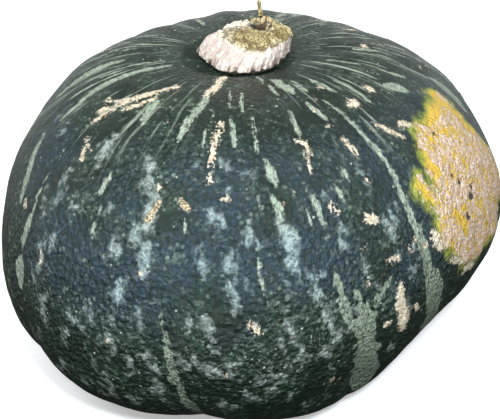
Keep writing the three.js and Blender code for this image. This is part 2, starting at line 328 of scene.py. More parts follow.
# ---- Small helpers for meshes ----
HASH_PRIMES = (73856093, 19349663, 83492791)
HASH_SEED = 2654435761
HASH_MIX = 1274126177


def lattice(cells, seed):
    """A repeatable random number from -1 to 1 for each whole-numbered cell corner."""
    x, y, z = (cells[:, axis] * prime for axis, prime in enumerate(HASH_PRIMES))
    mixed = x ^ y ^ z ^ (seed * HASH_SEED)
    mixed = (mixed ^ (mixed >> 13)) * HASH_MIX & 0xFFFFFFFF
    return ((mixed ^ (mixed >> 16)) & 0xFFFF) / 32767.5 - 1


def value_noise(points, size, octaves=2, seed=0):
    """Smooth noise from about -1 to 1 at each point. Its lumps have the given size, in the points' units."""
    total, weight = np.zeros(len(points)), 1.0
    for octave in range(octaves):
        place = points / size * 2**octave
        corner = np.floor(place).astype(np.int64)
        share = place - corner
        share = share * share * (3 - 2 * share)
        for offset in np.ndindex(2, 2, 2):
            part = np.prod(np.where(offset, share, 1 - share), axis=1)
            total += weight * part * lattice(corner + offset, seed + octave)
        weight /= 2
    return total


def smooth(low, high, value):
    """0 at low, 1 at high, and smooth between them."""
    share = np.clip((value - low) / (high - low), 0, 1)
    return share * share * (3 - 2 * share)


def finished(name, bm, material, stands_for=None, attributes=None):
    """Makes the named piece from a bmesh, shades it smooth, and places it on the root body.
    Attributes hold a number or a vector for each vertex."""
    mesh = bpy.data.meshes.new(name)
    bm.to_mesh(mesh)
    bm.free()
    mesh.shade_smooth()
    for key, values in (attributes or {}).items():
        kind = "FLOAT_VECTOR" if values.ndim == 2 else "FLOAT"
        layer = mesh.attributes.new(key, kind, "POINT")
        layer.data.foreach_set("vector" if values.ndim == 2 else "value", values.astype(np.float32).ravel())
    mesh.materials.append(material)
    piece = bpy.data.objects.new(name, mesh)
    bpy.context.scene.collection.objects.link(piece)
    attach(piece, "root")
    if stands_for:
        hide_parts(stands_for)
    return piece


def vertex_array(bm):
    return np.array([v.co for v in bm.verts], float)


def move_vertices(bm, points):
    for vertex, point in zip(bm.verts, points):
        vertex.co = point


def vertex_normals(bm):
    bm.normal_update()
    return np.array([v.normal for v in bm.verts], float)


# ---- The rind ----
def rind_marks():
    """The listed marks with the scattered ones, by kind."""
    marks = {
        "pale": list(PALE_STRIPES), "dull": list(DULL_STRIPES), "scar": list(CORK_SCARS),
        "rust": RUSTY_SCARS, "fleck": list(FLECKS), "patch": GROUND_PATCH, "bare": BARE_YELLOW,
        "pit": DARK_PITS, "dusk": DUSKY_SPOTS,
    }
    rng = random.Random(SCATTER_SEED)
    marks["pale"] += back_furrow_stripes(rng)
    for kind, *like in SCATTERED:
        marks[kind] += scattered_marks(rng, *like)
    return marks


# How far noise of a given size shifts each kind of mark, in mm, and how much its strokes narrow.
WOBBLE_SIZE = 5 * MM
MARK_WOBBLE = {"fleck": 1.9, "patch": 2.5, "bare": 2.0, "dull": 1.1, "scar": 0.9}
OTHER_WOBBLE = 0.6
MARK_TAPER = {"dull": 0.3, "scar": 0.3, "rust": 0.2, "patch": 0.0, "bare": 0.2, "fleck": 0.45}
OTHER_TAPER = 0.6

# Small swells and hollows: longitude, phi and spread in degrees, and height in mm.
FINE_SWELLS = (
    (18, 134, 7, 3.2), (-46, 118, 12, 1.6), (-61, 117, 8, 1.3), (74, 99, 8, 1.4), (116, 58, 10, 1.5),
    (-114, 42, 12, 1.2), (176, 33, 8, 1.4), (92, 80, 8, 1.2), (-154, 33, 6, -0.6), (159, 34, 8, -0.7),
    (-74, 79, 8, -0.8),
)
SHOULDER_RIBS = {"count": 23, "height": 0.28 * MM, "from": 12, "to": 62, "fade_in": 14, "fade_out": 20}
BROAD_LUMPS = (0.25, 14 * MM)  # their rise in mm, and their size
FINE_LUMPS = (0.09, 4 * MM)
SCAR_RISE = 0.24  # mm, as the next four are
CRUST_RISE = 0.22
CRUMB_RISE = 0.3  # what the cork's crumbs add to a scar and to the crust
PIT_DEPTH = 0.7
STRIPE_DEPTH = 0.08
CRUMB_SIZE = 1.9 * MM
SEAT_FADE = 5 * MM  # how far from the stem's seat the relief reaches its full height


def rind_relief(points, lon, phi, fields):
    """How far the real skin stands out from the smooth form, in metres."""
    broad = BROAD_LUMPS[0] * value_noise(points, BROAD_LUMPS[1], 2, 3)
    lumps = broad + FINE_LUMPS[0] * value_noise(points, FINE_LUMPS[1], 2, 8)
    crumbs = value_noise(points, CRUMB_SIZE, 2, 5)
    scar = smooth(-0.4, 0.8, fields["scar"]) * (SCAR_RISE + CRUMB_RISE * crumbs)
    crust = smooth(-0.8, 1.2, fields["patch"] + 1.2 * crumbs) * (CRUST_RISE + CRUMB_RISE * crumbs)
    crust *= 1 - 0.7 * smooth(-0.8, 0.8, fields["bare"])
    pits = smooth(-0.5, 0.5, fields["pit"]) * -PIT_DEPTH
    sunk = smooth(-0.5, 0.7, np.maximum(fields["pale"], fields["dull"])) * -STRIPE_DEPTH
    first, last = SHOULDER_RIBS["from"], SHOULDER_RIBS["to"]
    ribs = smooth(first, first + SHOULDER_RIBS["fade_in"], phi)
    ribs = ribs * (1 - smooth(last - SHOULDER_RIBS["fade_out"], last, phi))
    ribs = ribs * np.cos(np.radians(lon) * SHOULDER_RIBS["count"]) * SHOULDER_RIBS["height"]
    swells = np.zeros(len(points))
    for swell_lon, swell_phi, spread, height in FINE_SWELLS:
        angle = np.arccos(np.clip(direction(lon, 90 - phi) @ direction(swell_lon, 90 - swell_phi), -1, 1))
        swells += height * np.exp(-0.5 * (angle / math.radians(spread)) ** 2)
    return (swells + lumps + np.maximum(scar, crust) + pits + sunk) * MM + ribs


def make_rind(material):
    bm = bmesh.new()
    bmesh.ops.create_uvsphere(bm, u_segments=RIND_SEGMENTS, v_segments=RIND_ROWS, radius=1)
    bmesh.ops.subdivide_edges(bm, edges=bm.edges[:], cuts=RIND_CUTS, use_grid_fill=True)
    ball = vertex_array(bm)
    ball /= np.linalg.norm(ball, axis=1, keepdims=True)
    turn = np.arctan2(ball[:, 0], -ball[:, 1])
    fall = np.arccos(np.clip(ball[:, 2], -1, 1))
    lon = np.degrees(turn - FRONT_CROWDING * np.sin(turn))
    phi = np.degrees(fall - TOP_CROWDING * np.sin(fall))
    raw = skin(lon, phi)
    wobble = np.stack([value_noise(raw, WOBBLE_SIZE, 3, seed) for seed in (11, 12, 13)], 1)
    fields = {}
    for kind, marks in rind_marks().items():
        shifted = raw / MM + wobble * MARK_WOBBLE.get(kind, OTHER_WOBBLE)
        fields[kind] = inside_marks(shifted, marks, MARK_TAPER.get(kind, OTHER_TAPER))
    points = settled(raw, phi)
    move_vertices(bm, points)
    relief = rind_relief(points, lon, phi, fields)
    relief *= np.where(phi > 90, 1, smooth(0, SEAT_FADE, past_seat(points)))
    relief[points[:, 2] <= -REST_DEPTH + BLOSSOM_SCAR["depth"]] = 0
    points = points + vertex_normals(bm) * relief[:, None]
    points[:, 2] = np.maximum(points[:, 2], -REST_DEPTH)
    move_vertices(bm, points + EQUATOR)
    bm.normal_update()
    around = np.radians(lon)
    fields["meridian"] = np.stack([np.sin(around), -np.cos(around), np.radians(phi)], 1)
    return finished("squash_rind", bm, material, "squash_body", fields)


def equator_middle():
    """Where the middle of the form's equator lies in the part's frame."""
    lons, phis = np.meshgrid(np.arange(-180, 180, 1.0), np.arange(40, 120, 1.0))
    outline = skin(lons.ravel(), phis.ravel())
    low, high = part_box("squash_body")
    middle = (outline.min(0) + outline.max(0)) / 2
    return np.array([(low.x + high.x) / 2 - middle[0], (low.y + high.y) / 2 - middle[1], low.z + REST_DEPTH])


EQUATOR = equator_middle()

# ---- The stem: its own sizes and places are in mm from its seat, on its axis ----
STEM_OFFSET = 1 * MM  # from the fruit's pole to the stem's axis
SEAT_GAP = 0.3 * MM
# Radius and height.
STEM_PROFILE = (
    (0, 0), (8, 0), (15.9, 0), (16.6, 0.7), (16.8, 1.6), (16.3, 3.2), (15, 5.4), (13.3, 7.4),
    (11.8, 8.9), (9.8, 9.6), (5, 9.9), (0, 9.9),
)
# Direction in degrees from +X, and how far the stem's widest level reaches that way.
STEM_OUTLINE = (
    (0, 16.4), (14, 17.6), (30, 17.2), (60, 15.6), (90, 15), (130, 15.4), (155, 16.8), (168, 17.6),
    (182, 15.8), (201, 14.2), (222, 15), (238, 16.6), (256, 17.4), (290, 17.6), (322, 16.2), (346, 15.2),
)
STEM_STEPS = 220
STEM_RINGS = 96
STEM_LUMP_SIZE = {"edge": 3, "rib": 1.5, "lump": 3.2, "grain": 1.25}
WALL_RELIEF = {"rib": 0.6, "crack": 0.8, "grain": 0.2}
TOP_RELIEF = {"lump": 0.9, "grain": 0.7, "edge": 0.5}
WALL_RADIUS = 16  # about the wall's own, for patterns laid round it
RIB_STRETCH = 0.16  # upright ribs: height counts this much in their pattern
HAIRLINE_STRETCH = 0.22
TOP_FROM, TOP_TO = 6.4, 9.2  # heights between which the wall turns into the torn top
TOP_SHIFT = 4.0  # how far the top leans to +X
TOP_RISE_TO_BACK = 0.08  # slope
CRATER = {"x": 6.6, "y": 5.6, "radius": 5, "depth": 3}
KNOB = {"x": -12.6, "y": 3.4, "radius": 2.6, "height": 1.5}
NOTCH = {"x": -13.4, "y": -0.4, "radius": 1.3, "depth": 0.5}
OCHRE = {"x": 4.5, "y": -4.5, "radius": 9.5}
OLIVE = {"x": 15, "y": -2.5, "radius": 5}


def stem_origin():
    return Vector(EQUATOR + CROWN) + Vector((STEM_OFFSET, 0, SEAT_HEIGHT - CROWN[2] + SEAT_GAP))


def stem_rings():
    """The stem's profile as evenly spaced points, in metres."""
    corners = np.array(STEM_PROFILE)
    lengths = np.concatenate([[0], np.cumsum(np.linalg.norm(np.diff(corners, axis=0), axis=1))])
    stations = np.linspace(0, lengths[-1], STEM_RINGS)
    return np.stack([np.interp(stations, lengths, corners[:, k]) for k in (0, 1)], 1) * MM


def hump(x, y, spot):
    """1 over the middle of a round spot, fading out past its radius."""
    return np.exp(-(((x - spot["x"]) ** 2 + (y - spot["y"]) ** 2) / spot["radius"] ** 2))


def make_stem(material):
    bm = bmesh.new()
    outline = [bm.verts.new((radius, 0, height)) for radius, height in stem_rings()]
    edges = [bm.edges.new(pair) for pair in zip(outline, outline[1:])]
    bmesh.ops.spin(bm, geom=outline + edges, cent=(0, 0, 0), axis=(0, 0, 1), angle=math.tau,
                   steps=STEM_STEPS, use_merge=True)
    bmesh.ops.remove_doubles(bm, verts=bm.verts, dist=1e-6)
    bmesh.ops.recalc_face_normals(bm, faces=bm.faces)
    bm.verts.ensure_lookup_table()
    points, fields = torn_stem(vertex_array(bm) / MM)
    move_vertices(bm, points * MM + np.array(stem_origin()))
    return finished("cut_stem", bm, material, "stem", fields)


def around_wall(angle, height):
    """Places on a plain round wall, for patterns that run round the stem."""
    return np.stack([np.cos(angle) * WALL_RADIUS, np.sin(angle) * WALL_RADIUS, height], 1)


def torn_stem(local):
    """The turned stem's points after growth and tearing, in mm, and the attributes for its finish."""
    x, y, z = local.T
    angle = np.arctan2(y, x)
    radius = np.hypot(x, y)
    edge = TOP_RELIEF["edge"] * value_noise(local, STEM_LUMP_SIZE["edge"], 2, 2)
    top = smooth(TOP_FROM, TOP_TO, z + edge)
    side = (1 - top) * smooth(0.05, 1.0, z)
    widest = max(ring for ring, _ in STEM_PROFILE)
    reach = np.interp(np.degrees(angle) % 360, *np.array(STEM_OUTLINE).T, period=360) / widest
    ribs = value_noise(around_wall(angle, z * RIB_STRETCH), STEM_LUMP_SIZE["rib"], 3, 4)
    cracks = smooth(0.1, -0.42, ribs) * smooth(6.5, 0.5, z)
    lumps = value_noise(local, STEM_LUMP_SIZE["lump"], 3, 6)
    grains = value_noise(local, STEM_LUMP_SIZE["grain"], 2, 9)
    wall = WALL_RELIEF["rib"] * ribs - WALL_RELIEF["crack"] * cracks + WALL_RELIEF["grain"] * grains
    outward = reach + side * wall / np.maximum(radius, 6)
    x = x * outward + TOP_SHIFT * smooth(1, 9.5, z)
    y = y * outward
    notched = hump(x, y, NOTCH) * smooth(1.2, 3, z)
    rise = top * (TOP_RELIEF["lump"] * lumps + TOP_RELIEF["grain"] * grains + TOP_RISE_TO_BACK * y)
    rise -= top * CRATER["depth"] * hump(x, y, CRATER) - KNOB["height"] * hump(x, y, KNOB)
    rise -= NOTCH["depth"] * notched
    fields = {
        "top": top,
        "crack": cracks * side + smooth(0.25, -0.5, lumps + grains) * top,
        "foot": smooth(1.8, 0.3, z),
        "height": z / 10,  # in centimetres
        "wall": around_wall(angle, z * HAIRLINE_STRETCH),
        "straw": top * hump(x, y, OCHRE),
        "hollow": top * hump(x, y, CRATER) + 0.45 * notched,
        "olive": hump(x, y, OLIVE) * smooth(5, 8, z),
    }
    return np.stack([x, y, np.maximum(z + rise, 0)], 1), fields


# ---- Torn fibres on the stem: route, half width and half thickness in mm, and taper towards the tip ----
SPLINTER = (((6.9, 9.4, 8.6), (6.8, 9.8, 11.4), (6.5, 10, 14), (6.2, 10.2, 17.2)), 1.3, 0.8, 0.5)
TORN_FIBRES = (
    (((6.9, 9.8, 10), (9, 8.4, 10.6), (10.6, 6.5, 10.4), (11.8, 2.8, 9.9), (13.4, 1.6, 9.2)), 1.4, 0.8, 0.2),
    (((3.2, 9.4, 9.2), (4.8, 9.8, 10), (6.6, 9.8, 9.8)), 1.0, 0.7, 0.3),
    (((11.4, 6.6, 9), (13.2, 4.6, 9.7), (15, 2, 8.6)), 1.3, 0.7, 0.4),
    (((13.4, 3.4, 8.6), (15.6, 1.8, 8.9), (17.2, -0.4, 7.2)), 1.1, 0.6, 0.5),
    (((15, 5.4, 8.4), (16.8, 3.4, 8.2), (17.8, 1.6, 6.4)), 1.0, 0.6, 0.5),
    (((8.6, 3.6, 8), (9.4, 4.8, 9.8), (9.8, 6.6, 9)), 0.6, 0.5, 0.4),
)
FIBRE_SIDES = 10
FIBRE_STEPS = 14
FIBRE_UNEVENNESS = 0.16  # share of its width
FIBRE_LUMP = 1.1 * MM


def route_points(route, steps):
    """Evenly spread points on a smooth curve through a route."""
    knots = np.array(route, float)
    ends = np.vstack([2 * knots[0] - knots[1], knots, 2 * knots[-1] - knots[-2]])
    points = []
    for step in range(steps + 1):
        place = min(step / steps * (len(knots) - 1), len(knots) - 1 - 1e-9)
        index, t = int(place), place - int(place)
        a, b, c, d = ends[index : index + 4]
        points.append(0.5 * (2 * b + (c - a) * t + (2 * a - 5 * b + 4 * c - d) * t**2
                             + (3 * b - a - 3 * c + d) * t**3))
    return points


def add_fibre(bm, route, half_width, half_thickness, taper):
    """One strip swept along its route by extruding an oval end face, narrowing to its tip."""
    points = [Vector(p) * MM + stem_origin() for p in route_points(route, FIBRE_STEPS)]
    ring = bmesh.ops.create_circle(bm, cap_ends=True, segments=FIBRE_SIDES, radius=1)["verts"]
    face = ring[0].link_faces[0]
    section = [vertex.co.copy() for vertex in face.verts]
    widths = 1 + FIBRE_UNEVENNESS * value_noise(np.array(points), FIBRE_LUMP, 1, 3)
    for step, point in enumerate(points):
        if step:
            face = next(g for g in bmesh.ops.extrude_face_region(bm, geom=[face])["geom"]
                        if isinstance(g, bmesh.types.BMFace))
        ahead = points[min(step + 1, FIBRE_STEPS)] - points[max(step - 1, 0)]
        turn = ahead.to_track_quat("Z", "Y")
        share = step / FIBRE_STEPS
        keep = (1 - taper * share) * widths[step]
        for vertex, corner in zip(face.verts, section):
            flat = Vector((corner.x * half_thickness, corner.y * half_width, 0)) * keep * MM
            vertex.co = point + turn @ flat


def make_fibres(name, strips, material, stands_for=None):
    bm = bmesh.new()
    for strip in strips:
        add_fibre(bm, *strip)
    bmesh.ops.recalc_face_normals(bm, faces=bm.faces)
    return finished(name, bm, material, stands_for)


# ---- Helpers for node trees ----
class Tree:
    """Adds nodes to one tree. Each method gives back the new node's output socket."""

    def __init__(self, tree):
        self.tree = tree

    def put(self, socket, value):
        if isinstance(value, bpy.types.NodeSocket):
            self.tree.links.new(value, socket)
        else:
            socket.default_value = value

    def node(self, kind, inputs=None, out=0, **settings):
        made = self.tree.nodes.new("ShaderNode" + kind)
        for key, value in settings.items():
            setattr(made, key, value)
        for key, value in (inputs or {}).items():
            self.put(made.inputs[key], value)
        return made.outputs[out]

    def math(self, operation, *values, clamp=False):
        return self.node("Math", dict(enumerate(values)), operation=operation, use_clamp=clamp)

    def step(self, value, low, high):
        """0 under low, 1 over high, and smooth between them."""
        inputs = {"Value": value, "From Min": low, "From Max": high}
        return self.node("MapRange", inputs, interpolation_type="SMOOTHSTEP")

    def mix(self, factor, a, b, blend="MIX"):
        inputs = {0: factor, 6: a, 7: b}
        return self.node("Mix", inputs, out=2, data_type="RGBA", blend_type=blend)

    def noise(self, vector, scale, detail=2.0, roughness=0.5):
        inputs = {"Vector": vector, "Scale": scale, "Detail": detail, "Roughness": roughness}
        return self.node("TexNoise", inputs)

    def cells(self, vector, scale):
        """How far each point is from the nearest of some scattered points."""
        return self.node("TexVoronoi", {"Vector": vector, "Scale": scale, "Randomness": 1.0})

    def add(self, value, factor, base):
        """The base plus a share of the value."""
        return self.math("MULTIPLY_ADD", value, factor, base)

    def times(self, value, factor):
        return self.math("MULTIPLY", value, factor)

    def stretched(self, vector, scale):
        """The vector scaled by its own factor on each axis."""
        return self.node("VectorMath", {0: vector, 1: scale}, operation="MULTIPLY")

    def attribute(self, name, vector=False):
        return self.node("Attribute", out="Vector" if vector else "Fac", attribute_name=name)

    def place(self):
        return self.node("TexCoord", out="Object")


def shader_group(name, inputs, outputs):
    """A new node group with inputs {name: (kind, default)} and number outputs, and a Tree to fill it."""
    group = bpy.data.node_groups.new(name, "ShaderNodeTree")
    for key, (kind, default) in inputs.items():
        socket = group.interface.new_socket(key, in_out="INPUT", socket_type="NodeSocket" + kind)
        if default is not None:
            socket.default_value = default
    for key in outputs:
        group.interface.new_socket(key, in_out="OUTPUT", socket_type="NodeSocketFloat")
    tree = Tree(group)
    return group, tree, group.nodes.new("NodeGroupInput").outputs, group.nodes.new("NodeGroupOutput").inputs


def ragged_edge_group():
    """Turns a depth inside a mark, in mm, into a mask whose edge wanders and frays."""
    inputs = {"Place": ("Vector", None), "Depth": ("Float", 0.0), "Wander": ("Float", 1.0),
              "Softness": ("Float", 0.3), "Grain": ("Float", 900.0)}
    group, tree, given, result = shader_group("ragged_edge", inputs, ["Mask"])
    fray = tree.noise(given["Place"], given["Grain"], 3.0, 0.6)
    shifted = tree.math("MULTIPLY_ADD", tree.math("SUBTRACT", fray, 0.5), given["Wander"], given["Depth"])
    low = tree.math("MULTIPLY", given["Softness"], -1.0)
    tree.put(result["Mask"], tree.step(shifted, low, given["Softness"]))
    return group


def cork_grain_group():
    """Dry cork: rounded granules with dark gaps between them."""
    inputs = {"Place": ("Vector", None), "Scale": ("Float", 900.0)}
    group, tree, given, result = shader_group("cork_grain", inputs, ["Height", "Gap"])
    cells = tree.cells(given["Place"], given["Scale"])
    fine = tree.noise(given["Place"], tree.math("MULTIPLY", given["Scale"], 1.7), 3.0, 0.6)
    dome = tree.math("SUBTRACT", 1.0, cells)
    tree.put(result["Height"], tree.math("MULTIPLY_ADD", fine, 0.6, dome))
    tree.put(result["Gap"], tree.step(tree.math("MULTIPLY_ADD", fine, -0.5, cells), 0.12, 0.5))
    return group


def use(tree, group, inputs, out=0):
    """Places a node group in a tree and gives back one output, or all when out is None."""
    made = tree.tree.nodes.new("ShaderNodeGroup")
    made.node_tree = group
    for key, value in inputs.items():
        tree.put(made.inputs[key], value)
    return made.outputs if out is None else made.outputs[out]


def new_material(name):
    material = bpy.data.materials.new(name)
    material.use_nodes = True
    tree = Tree(material.node_tree)
    return material, tree, material.node_tree.nodes["Principled BSDF"].inputs


def srgb(red, green, blue):
    """A colour given in everyday 0 to 255 numbers, as the linear one that the shaders take."""
    linear = [((c / 255 + 0.055) / 1.055) ** 2.4 if c > 10 else c / 255 / 12.92 for c in (red, green, blue)]
    return (*linear, 1.0)


# ---- The rind's finish ----
GREEN_BLACK = srgb(16, 32, 22)
DEEP_GREEN = srgb(34, 54, 39)
# Bluish slate: partly the rind's waxy bloom, partly a painted reflection of bluish light.
SLATE_BLOOM_AND_SHEEN = srgb(36, 54, 64)
DUSK = srgb(34, 38, 52)
PALE_GREEN = srgb(166, 177, 158)
DULL_OLIVE = srgb(138, 150, 130)
FLECK_GREY = srgb(164, 174, 166)
# The flecks' painted bluish-white highlight where the bluish band lies.
FLECK_SHEEN = srgb(154, 172, 170)
DOT_GREY = srgb(124, 138, 124)
# Pale pinpoints: partly real specks, partly painted glints.
PINPOINT_AND_GLINT = srgb(206, 210, 196)
CREAM = srgb(238, 224, 206)
PINK_TAN = srgb(212, 174, 150)
SCAR_CREAM = srgb(232, 222, 202)
SCAR_TAN = srgb(200, 174, 140)
RUST = srgb(208, 190, 150)
YELLOW = srgb(222, 182, 70)
YELLOW_GREEN = srgb(146, 156, 60)
PIT_BROWN = srgb(78, 68, 60)

BRUSH = (64, 64, 15)  # scale of the brushed patterns round the fruit and down it
FINE_BRUSH = (170, 170, 44)
STREAKS = (30, 30, 3)
WAXY_ROUGHNESS = 0.05
ROUGHNESS_SPREAD = 0.26
DRY_ROUGHNESS = 0.45  # what cork adds
RIND_BUMP = 1.4 * MM
# Each mask's attribute, how far its edge wanders and its softness, both in mm, the scale of the fraying,
# how far the mark is widened in mm, and how far its edge is brushed along the meridians in mm.
EDGES = {
    "dusk": ("dusk", 2.5, 1.0, 400, 0, 0),
    "fleck": ("fleck", 8.5, 1.9, 420, -0.5, 0.6),
    "dull": ("dull", 3.6, 0.3, 420, 0.1, 2.8),
    "pale": ("pale", 2.4, 0.35, 620, 0, 2.6),
    "patch": ("patch", 6.0, 2.2, 300, 0.6, 0),
    "crust": ("patch", 5.0, 0.8, 420, -0.4, 0),
    "bare": ("bare", 3.0, 0.8, 300, 0, 0),
    "scar": ("scar", 5.0, 0.35, 1000, 0.15, 3.0),
    "rust": ("rust", 3.0, 0.3, 1000, 0, 0),
    "pit": ("pit", 1.4, 0.3, 900, 0, 0),
}


def rind_patterns(tree, cork_grain):
    """The places and noises that the rind's colours, gloss and bumps share."""
    place = tree.place()
    meridian = tree.attribute("meridian", vector=True)
    return SimpleNamespace(
        place=place,
        meridian=meridian,
        off_front=tree.math("ABSOLUTE", tree.node("SeparateXYZ", {0: meridian}, out="X")),
        phi=tree.node("SeparateXYZ", {0: meridian}, out="Z"),
        brush=tree.noise(tree.stretched(meridian, BRUSH), 1.0, 3.0, 0.6),
        fine_brush=tree.noise(tree.stretched(meridian, FINE_BRUSH), 1.0, 3.0, 0.6),
        blotch=tree.noise(place, 95, 4.0, 0.6),
        speck=tree.noise(place, 560, 3.0, 0.65),
        fine=tree.noise(place, 1150, 2.0, 0.6),
        wrinkles=tree.cells(place, 520.0),
        grain=use(tree, cork_grain, {"Place": place, "Scale": 1500.0}, out=None),
    )


def rind_mask(tree, on, ragged_edge, name):
    """Where one kind of mark covers the rind, with its edge as EDGES says."""
    attribute, wander, softness, grain, widened, brushed = EDGES[name]
    depth = tree.math("ADD", tree.attribute(attribute), widened)
    depth = tree.add(tree.math("SUBTRACT", on.brush, 0.5), brushed, depth)
    inputs = {"Place": on.place, "Depth": depth, "Wander": wander, "Softness": softness, "Grain": grain}
    return use(tree, ragged_edge, inputs)


def bloom_and_sheen_band(tree, on):
    """The bluish band round the fruit's upper flanks, broken by noise: partly the rind's waxy bloom and
    partly a painted reflection of bluish light.
    """
    band = tree.times(tree.step(on.phi, 0.5, 0.85), tree.step(on.phi, 1.62, 1.3))
    return tree.times(band, tree.step(tree.noise(on.place, 42, 2.0), 0.3, 0.62))


def green_rind(tree, on, mask, bloom_and_sheen):
    """The rind's ground: blotched greens, the bluish band of bloom and painted reflection, painted shade in
    the creases, and mottling.
    """
    colour = tree.mix(tree.step(on.blotch, 0.38, 0.66), GREEN_BLACK, DEEP_GREEN)
    colour = tree.mix(bloom_and_sheen, colour, SLATE_BLOOM_AND_SHEEN)
    colour = tree.mix(mask("dusk"), colour, DUSK)
    # Painted shade: the wrinkles' creases are darkened in the colour.
    crease_shade = tree.step(tree.add(on.fine, 0.6, on.wrinkles), 0.6, 1.0)
    colour = tree.mix(tree.times(crease_shade, 0.6), colour, GREEN_BLACK)
    mottle = tree.step(tree.add(on.blotch, 0.5, on.speck), 0.8, 1.0)
    return tree.mix(tree.times(mottle, 0.35), colour, DOT_GREY)


def dotted(tree, on, colour):
    """Small grey-green dots, and fewer, brighter pinpoints that are partly pale specks and partly painted
    glints.
    """
    dots = tree.step(tree.add(on.speck, 0.5, tree.cells(on.place, 300.0)), 0.52, 0.36)
    colour = tree.mix(tree.times(dots, tree.step(on.blotch, 0.3, 0.85)), colour, DOT_GREY)
    # Pinpoints: partly real specks, partly painted glints.
    pinpoints_and_glints = tree.step(tree.add(on.speck, 0.3, tree.cells(on.place, 230.0)), 0.25, 0.19)
    pinpoints_and_glints = tree.times(pinpoints_and_glints, tree.step(on.blotch, 0.4, 0.6))
    return tree.mix(tree.times(pinpoints_and_glints, 0.85), colour, PINPOINT_AND_GLINT)


def streaked(tree, on, colour):
    """Thin pale streaks down the shoulder, away from the front."""
    streaks = tree.noise(tree.stretched(on.meridian, STREAKS), 1.0, 2.0, 0.5)
    streaks = tree.step(tree.add(on.fine_brush, 0.12, streaks), 0.64, 0.71)
    shoulder = tree.times(tree.step(on.phi, 0.2, 0.3), tree.step(on.phi, 0.95, 0.5))
    streaks = tree.times(streaks, tree.times(shoulder, tree.step(on.off_front, 0.2, 0.75)))
    return tree.mix(tree.times(streaks, 0.75), colour, PALE_GREEN)


def striped(tree, on, mask, bloom_and_sheen, colour):
    """The feathery flecks, then the dull stripes and the pale ones, each with gaps in its colour."""
    covered = tree.step(tree.add(on.fine_brush, 0.4, on.fine), 0.35, 0.85)
    # Flecks in the bluish band take a bluish-white painted highlight.
    sheened_fleck = tree.mix(bloom_and_sheen, FLECK_GREY, FLECK_SHEEN)
    colour = tree.mix(tree.times(mask("fleck"), covered), colour, sheened_fleck)
    covered = tree.step(tree.add(on.fine, 0.5, on.fine_brush), 0.5, 0.85)
    colour = tree.mix(tree.times(mask("dull"), covered), colour, DULL_OLIVE)
    covered = tree.step(tree.add(on.fine, 0.4, on.fine_brush), 0.45, 0.8)
    return tree.mix(tree.times(mask("pale"), covered), colour, PALE_GREEN)


def ground_patch(tree, on, mask, colour):
    """The yellow patch with its crust of pinkish cork. Gives the colour and the crust's mask."""
    ripe = tree.add(on.speck, 3.0, tree.attribute("patch"))
    yellows = tree.mix(tree.step(ripe, 1.2, 5.0), YELLOW_GREEN, YELLOW)
    colour = tree.mix(mask("patch"), colour, yellows)
    crumbs = tree.add(tree.noise(on.place, 1000, 3.0, 0.7), 1.1, tree.noise(on.place, 240, 3.0, 0.6))
    cover = tree.add(mask("bare"), -0.3, crumbs)
    cover = tree.add(tree.step(tree.attribute("patch"), 0.5, 4.0), 0.08, cover)
    crust = tree.times(tree.step(cover, 1.02, 1.1), mask("crust"))
    shade = tree.step(tree.add(on.grain["Gap"], 0.12, on.fine), 0.42, 0.6)
    return tree.mix(crust, colour, tree.mix(shade, CREAM, PINK_TAN)), crust


def scarred(tree, on, mask, colour):
    """Corky and rusty scars and dark pits. Gives the colour and the mask of both kinds of scar."""
    scar, rust = mask("scar"), mask("rust")
    colour = tree.mix(scar, colour, tree.mix(on.grain["Gap"], SCAR_CREAM, SCAR_TAN))
    colour = tree.mix(rust, colour, tree.mix(on.grain["Gap"], RUST, PIT_BROWN))
    return tree.mix(mask("pit"), colour, PIT_BROWN), tree.math("MAXIMUM", scar, rust)


def rind_material(ragged_edge, cork_grain):
    material, tree, shader = new_material("waxy_rind")
    on = rind_patterns(tree, cork_grain)
    mask = partial(rind_mask, tree, on, ragged_edge)
    # The bluish band: partly real bloom, partly a painted reflection of bluish light.
    bloom_and_sheen = bloom_and_sheen_band(tree, on)
    colour = dotted(tree, on, green_rind(tree, on, mask, bloom_and_sheen))
    colour = striped(tree, on, mask, bloom_and_sheen, streaked(tree, on, colour))
    colour, crust = ground_patch(tree, on, mask, colour)
    colour, scars = scarred(tree, on, mask, colour)
    tree.put(shader["Base Color"], colour)
    dry = tree.math("MAXIMUM", scars, crust)
    waxy = tree.add(on.fine, ROUGHNESS_SPREAD, WAXY_ROUGHNESS)
    tree.put(shader["Roughness"], tree.math("MULTIPLY_ADD", dry, DRY_ROUGHNESS, waxy, clamp=True))
    leather = tree.add(on.fine, 0.5, tree.add(on.wrinkles, -0.5, on.speck))
    height = tree.add(tree.times(dry, on.grain["Height"]), 0.25, leather)
    bump = {"Height": height, "Distance": RIND_BUMP, "Strength": 1.0}
    tree.put(shader["Normal"], tree.node("Bump", bump))
    return material


# ---- The stem's finish ----
STEM_PINK = srgb(200, 178, 168)
STEM_CREAM = srgb(206, 198, 164)
STEM_WHITE = srgb(216, 206, 194)
STEM_STRAW = srgb(212, 196, 146)
STEM_OLIVE = srgb(150, 136, 86)
STEM_BROWN = srgb(92, 72, 44)
STEM_DARK = srgb(50, 42, 30)
STEM_BUMP = 0.4 * MM


def stem_ground(tree, patchy):
    """Pinkish cork on the wall, and cream on the torn top."""
    side = tree.mix(tree.step(patchy, 0.4, 0.6), STEM_PINK, STEM_WHITE)
    top = tree.mix(tree.step(patchy, 0.35, 0.6), STEM_CREAM, STEM_WHITE)
    return tree.mix(tree.step(tree.add(patchy, 0.6, tree.attribute("top")), 0.6, 0.9), side, top)


